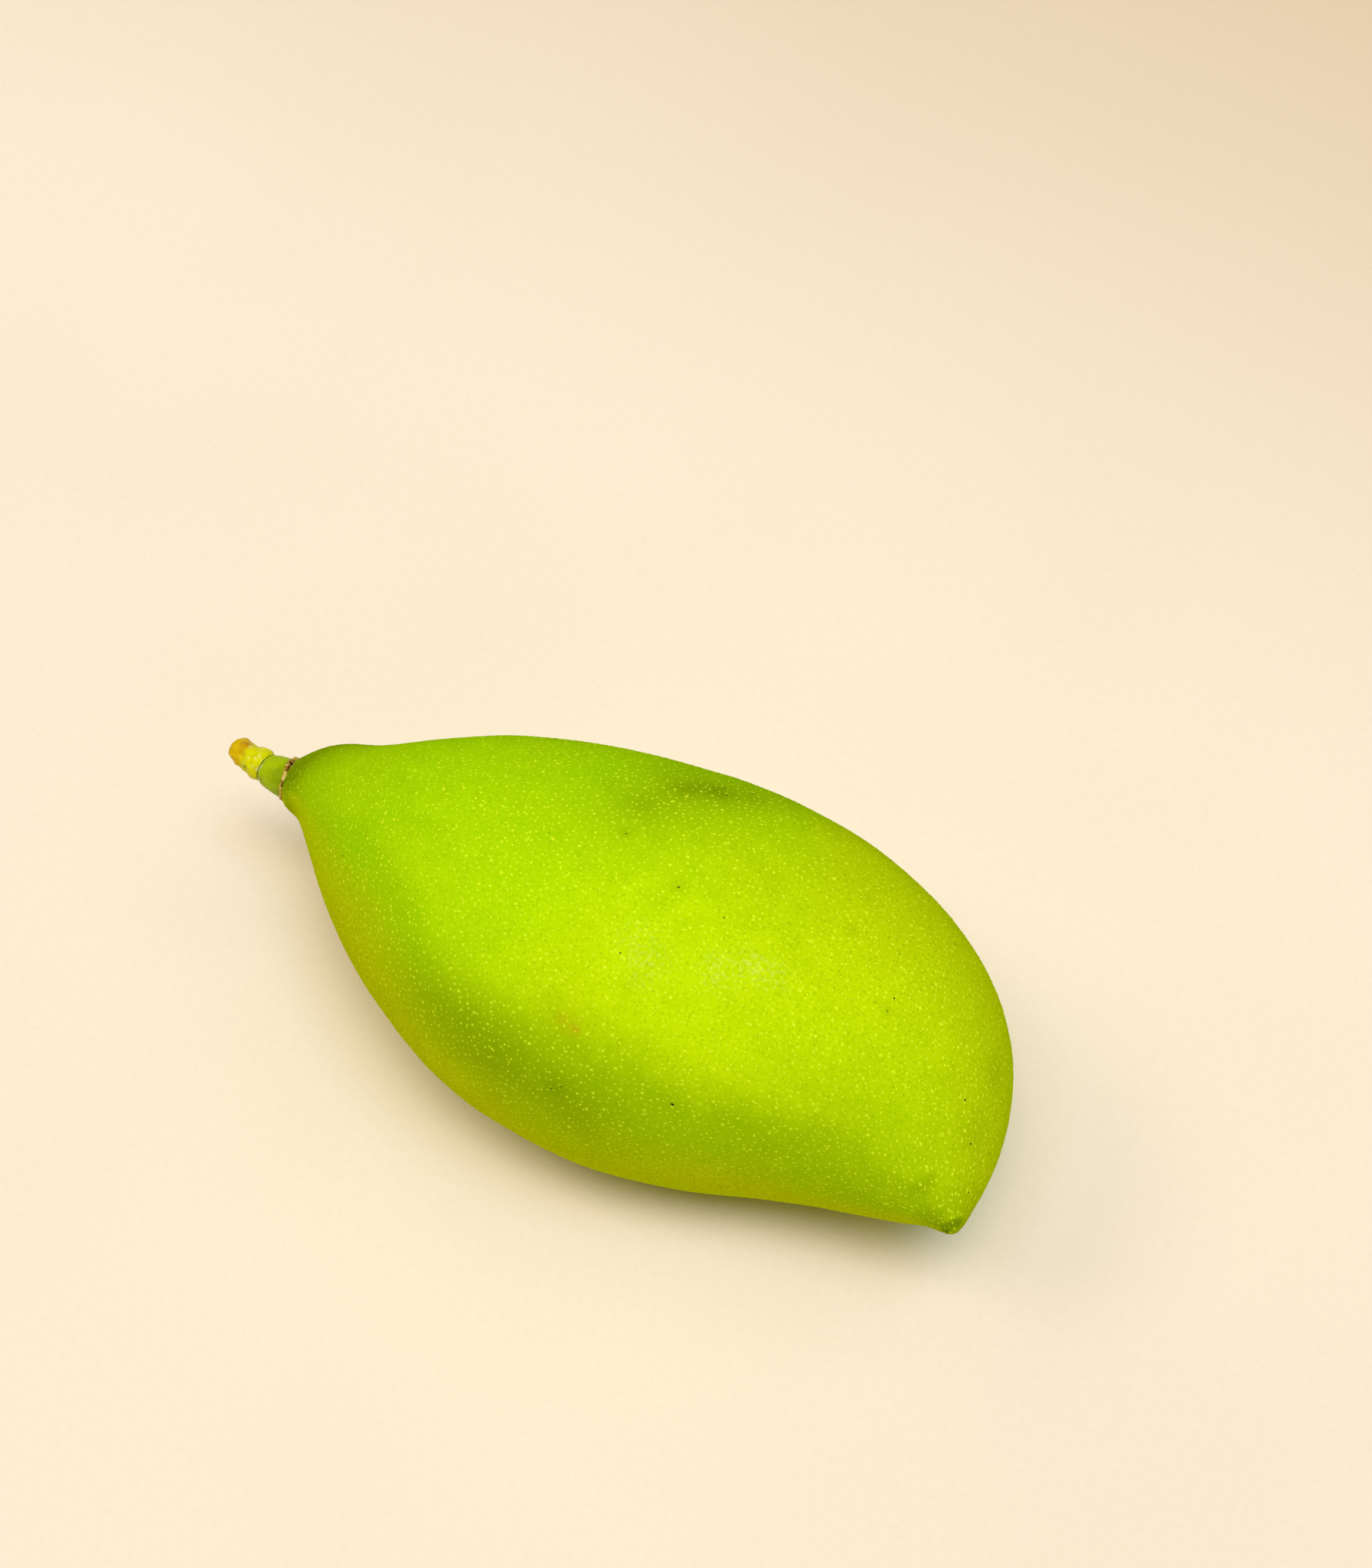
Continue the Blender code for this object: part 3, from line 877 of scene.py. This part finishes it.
# the stem: a flared green joint, a crease and a knobbly yellow end. Lengths are in mm and angles in degrees.
# Ends and edges along it are distances from its foot
stem = {
    "handles": [(0.0, 3.65), (0.9, 3.6), (2.4, 3.35), (3.9, 3.1), (4.6, 2.55), (4.95, 2.5),
                (5.4, 3.1), (7.2, 3.05), (9.0, 2.45), (11.3, 2.6), (12.7, 1.7), (12.7, 0.0)],
    "gap": 0.3,
    "turnEnd": 1.5,
    "bend": 5.0,
    "droop": 1.0,
    "steps": 400,
    "inset": 0.985,  # the skin's radius as a share of the solid's
    "knob": (5.4, 1.5),  # where it starts, and the length over which its lumps grow
    "lumps": (0.05, 3.0, 1.1),  # depth, how many round it, and how they twist along it
    "girth": 2.6,  # radius of the frame that its waves are laid out in
    "knobWaves": (0.075, 1.8, 31),  # depth, size and seed
    "fineWaves": (0.018, 0.8, 32),
    "ridges": (0.02, 9.0, (3.0, 34), (2.4, 1.6)),  # depth, how many, their waves, and their bell along it
    "lip": (0.05, (1.1, 33), (5.1, 0.25)),
    "marks": {
        "blush": [(318, 972, 1.1, 0.9), (325, 972, 0.9, 0.8), (309, 977, 0.9, 0.5)],
        # pale scar lines, and beside the crease a painted glint
        "scarAndGlint": [(330, 975, 0.5, 0.8), (333, 971, 0.4, 0.6), (341, 1000, 0.4, 0.8), (337, 1005, 0.4, 0.7),
                 (344, 994, 0.35, 0.6)],
        "notch": [(319.5, 1002, 0.34, 0.8), (340, 1017, 0.4, 0.4)],
    },
    "nearness": 2.0,  # of a mark: how much a pixel counts against a mm of depth
    "tints": {
        "green": (0.360, 0.500, 0.0020),
        "shade": (0.215, 0.320, 0.0020),
        "lemon": (0.680, 0.680, 0.0020),
        "olive": (0.440, 0.480, 0.0020),
        "orange": (0.640, 0.440, 0.0030),
        "rust": (0.480, 0.200, 0.0040),
        "scarAndGlint": (0.800, 0.780, 0.350),
        "crease": (0.070, 0.085, 0.004),
    },
    "raggedWaves": (420.0, 2.0, 0.5),
    "raggedDepth": 1.6,
    "footWaves": (300.0, 2.0, 0.5),
    "footDepth": 2.4,
    "footEdge": (1.6, 0.2),
    "footShare": 0.8,
    "shadePatches": (170.0, 2.0, 0.4, 0.52, 0.72),
    "shadeShare": 0.6,
    "olivePatches": (520.0, 3.0, 0.6, 0.55, 0.72),
    "knobEdge": (4.75, 4.95),
    "orangeEdge": (8.2, 9.8),
    "blushPatches": (700.0, 3.0, 0.6, 0.36, 0.60),
    "blushShare": 0.75,
    "flakeEdges": ((5.5, 6.0), (9.0, 8.0)),
    "flakePatches": (760.0, 3.0, 0.6, 0.60, 0.66),
    "flakeShare": 0.5,
    "scarAndGlintPatches": (900.0, 3.0, 0.6, 0.42, 0.54),
    "creaseEdges": ((4.50, 4.70), (4.98, 4.80)),
    "creaseShare": 0.85,
    "tooth": (1100.0, 3.0, 0.6),
    "toothDepth": 0.00012,
    "toothStrength": 0.7,
    "roughness": 0.36,
    "gloss": 0.08,
    "glossTint": (1.0, 1.0, 0.4, 1.0),
    "rows": 150,
    "columns": 110,
}
stemLength = stem["handles"][-1][0]
ringBack, ringBelly = np.array(fruit["backHandles"][0]), np.array(fruit["bellyHandles"][0])
footMiddle = (ringBack + ringBelly) / 2.0
footTurn = math.atan2(ringBelly[0] - ringBack[0], ringBack[1] - ringBelly[1])


def stemLine(distance):
    # the middle line: its heading starts square to the fruit's end ring and straightens along the stem
    # with a power of what is left of it; steps of that heading are added up
    along = np.linspace(0.0, 1.0, stem["steps"])
    end = math.radians(stem["turnEnd"])
    turn = end + (footTurn - end) * (1.0 - along) ** stem["bend"]
    dip = math.radians(stem["droop"]) * along
    heading = -np.stack([np.cos(turn) * np.cos(dip), np.sin(turn) * np.cos(dip), np.sin(dip)], -1)
    path = np.cumsum(heading, 0) * stemLength / len(along)
    path += np.array([*footMiddle, 0.0]) + heading[0] * stem["gap"] - path[0]
    place = np.stack([np.interp(distance, along * stemLength, path[:, k]) for k in range(3)], -1)
    return place, np.interp(distance / stemLength, along, turn), np.interp(distance / stemLength, along, dip)


def stemSkin(t, angle):
    # rings square to the middle line, with the spline's radius, three soft lumps, small wrinkles and ridges
    profile = splineAt(stem["handles"], t)
    distance, radius = profile[..., 0], profile[..., 1]
    place, turn, dip = stemLine(distance)
    start, length = stem["knob"]
    knob = np.clip((distance - start) / length, 0.0, 1.0)
    flat = np.stack([distance, stem["girth"] * np.cos(angle), stem["girth"] * np.sin(angle)], -1)

    depth, number, twist = stem["lumps"]
    lump = 1.0 + depth * knob * np.sin(number * angle + twist * distance)
    depth, size, seed = stem["knobWaves"]
    lump = lump - depth * knob * (0.5 + 0.5 * waves(flat, size, seed))
    depth, size, seed = stem["fineWaves"]
    lump = lump - depth * (0.5 + 0.5 * waves(flat, size, seed))
    depth, number, shift, where = stem["ridges"]
    lump = lump - depth * (0.5 + 0.5 * np.cos(number * angle + waves(flat, *shift))) * bell(distance, *where)
    depth, shift, where = stem["lip"]
    lump = lump - depth * bell(distance, *where) * (0.5 + 0.5 * waves(flat, *shift))

    side = np.stack([-np.sin(turn), np.cos(turn), np.zeros_like(turn)], -1)
    rise = np.stack([-np.cos(turn) * np.sin(dip), -np.sin(turn) * np.sin(dip), np.cos(dip)], -1)
    reach = (radius * lump * stem["inset"])[..., None]
    ring = place + side * reach * np.cos(angle)[..., None] + rise * reach * np.sin(angle)[..., None]
    return ring * mm + moved, distance


stemT = np.linspace(0.0, 1.0, stem["rows"] + 1)[:-1]
stemAngle = -np.linspace(0.0, 2.0 * math.pi, stem["columns"], endpoint=False)
ringT, ringAngle = (grid.ravel() for grid in np.meshgrid(stemT, stemAngle, indexing="ij"))
stemPlace, stemDistance = stemSkin(ringT, ringAngle)
stemFoot = stemPlace[: stem["columns"]].mean(0)
stemTip = (stemLine(np.array([stemLength]))[0][0] * mm) + moved
stemFaces, stemChart = tubeFaces(stem["rows"], stem["columns"])
stemPoints = np.concatenate([stemPlace, [stemFoot, stemTip]])
stemPixel = toFrame(stemPoints)
stemDepth = -((stemPoints - eye) @ back) / mm


def stemMark(spots):
    # sum of bell curves round the stem points that show at places in the picture, with a radius in mm and a
    # strength
    total = np.zeros(len(stemPoints))
    for x, y, radius, strength in spots:
        gap = np.hypot(stemPixel[:, 0] - x, stemPixel[:, 1] - y)
        centre = stemPoints[int(np.argmin(gap * stem["nearness"] + stemDepth))]
        total += strength * bell(np.linalg.norm(stemPoints - centre, axis=1), 0.0, radius * mm)
    return np.clip(total, 0.0, 1.0)


stemValues = {key: stemMark(spots) for key, spots in stem["marks"].items()}
stemValues["distance"] = np.concatenate([stemDistance, [0.0, stemLength]])
stemPiece = makePiece("stemSkin", stemPoints, stemFaces, stemChart, stemValues)

stemFinish, tints = Finish("stem"), stem["tints"]
where = stemFinish.value("distance")
ragged = where + (stemFinish.noise(*stem["raggedWaves"]) - 0.5) * stem["raggedDepth"]
foot = where + (stemFinish.noise(*stem["footWaves"]) - 0.5) * stem["footDepth"]
foot = stemFinish.mask(foot, *stem["footEdge"]) * stem["footShare"]
colour = stemFinish.blend(foot, tints["green"], tints["shade"])
colour = stemFinish.blend(stemFinish.patches(*stem["shadePatches"]) * stem["shadeShare"], colour, tints["shade"])
knobTint = stemFinish.blend(stemFinish.patches(*stem["olivePatches"]), tints["lemon"], tints["olive"])
colour = stemFinish.blend(stemFinish.mask(where, *stem["knobEdge"]), colour, knobTint)
colour = stemFinish.blend(stemFinish.mask(ragged, *stem["orangeEdge"]), colour, tints["orange"])
blush = stemFinish.value("blush") * stemFinish.patches(*stem["blushPatches"])
colour = stemFinish.blend(blush * stem["blushShare"], colour, tints["rust"])
starts, stops = stem["flakeEdges"]
flake = stemFinish.mask(ragged, *starts) * stemFinish.mask(ragged, *stops)
flake = flake * stemFinish.patches(*stem["flakePatches"])
colour = stemFinish.blend(flake * stem["flakeShare"], colour, tints["scarAndGlint"])
# pale scar marks, partly a painted glint beside the crease
scarAndGlintMask = stemFinish.value("scarAndGlint") * stemFinish.patches(*stem["scarAndGlintPatches"])
colour = stemFinish.blend(scarAndGlintMask, colour, tints["scarAndGlint"])
starts, stops = stem["creaseEdges"]
dark = stemFinish.mask(where, *starts) * stemFinish.mask(where, *stops)
colour = stemFinish.blend(dark * stem["creaseShare"], colour, tints["crease"])
colour = stemFinish.blend(stemFinish.value("notch"), colour, tints["crease"])
stemBump = stemFinish.bump(stemFinish.noise(*stem["tooth"]), stem["toothDepth"], stem["toothStrength"])
stemPiece.data.materials.append(stemFinish.close(colour, stem["roughness"], stemBump,
                                                 Specular_IOR_Level=stem["gloss"], Specular_Tint=stem["glossTint"]))
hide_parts("stem")
print("stem made:", len(stemFaces), "triangles")


# the corky ring where the stem meets the fruit: a tube carried round the foot, its crust frayed by waves
around, about = np.meshgrid(np.linspace(0, 2 * math.pi, cork["rows"], endpoint=False),
                            np.linspace(0, 2 * math.pi, cork["columns"], endpoint=False), indexing="ij")
outOf = np.array([-math.cos(footTurn), -math.sin(footTurn), 0.0])
sideOf = np.array([-math.sin(footTurn), math.cos(footTurn), 0.0])
rim = np.cos(around)[..., None] * sideOf + np.sin(around)[..., None] * np.array([0.0, 0.0, 1.0])
bend = np.cos(about)[..., None] * rim - np.sin(about)[..., None] * outOf
ringLine = rim * cork["radius"]
fray = waves(ringLine + bend * cork["thick"] * 2.0, *cork["broadFray"])
fray = fray + cork["fineShare"] * waves(ringLine + bend * cork["thick"], *cork["fineFray"])
sway = cork["sway"] * waves(ringLine, *cork["swayWaves"])[..., None] * outOf
corkPlace = ringLine + bend * (cork["thick"] + fray * cork["rough"])[..., None] + sway
corkPlace = (corkPlace + np.array([*footMiddle, 0.0]) + outOf * cork["out"]) * mm + moved
# both ways round are closed, so it has no poles
r, c = (grid.ravel() for grid in np.meshgrid(np.arange(cork["rows"]), np.arange(cork["columns"]), indexing="ij"))
corners = np.concatenate([trianglesAt(r, c, (0, 0), (1, 0), (1, 1)), trianglesAt(r, c, (0, 0), (1, 1), (0, 1))])
corkChart = corners / np.array([cork["rows"], cork["columns"]])
corkFaces = (corners[..., 0] % cork["rows"]) * cork["columns"] + corners[..., 1] % cork["columns"]
corkPiece = makePiece("corkRing", corkPlace.reshape(-1, 3), corkFaces, corkChart)
corkFinish = Finish("cork")
corkBump = corkFinish.bump(corkFinish.noise(*cork["tooth"]), cork["toothDepth"], cork["toothStrength"])
corkPiece.data.materials.append(corkFinish.close(corkColour(corkFinish), cork["roughness"], corkBump,
                                                 Specular_IOR_Level=cork["gloss"]))
print("corky ring made:", len(corkFaces), "triangles")
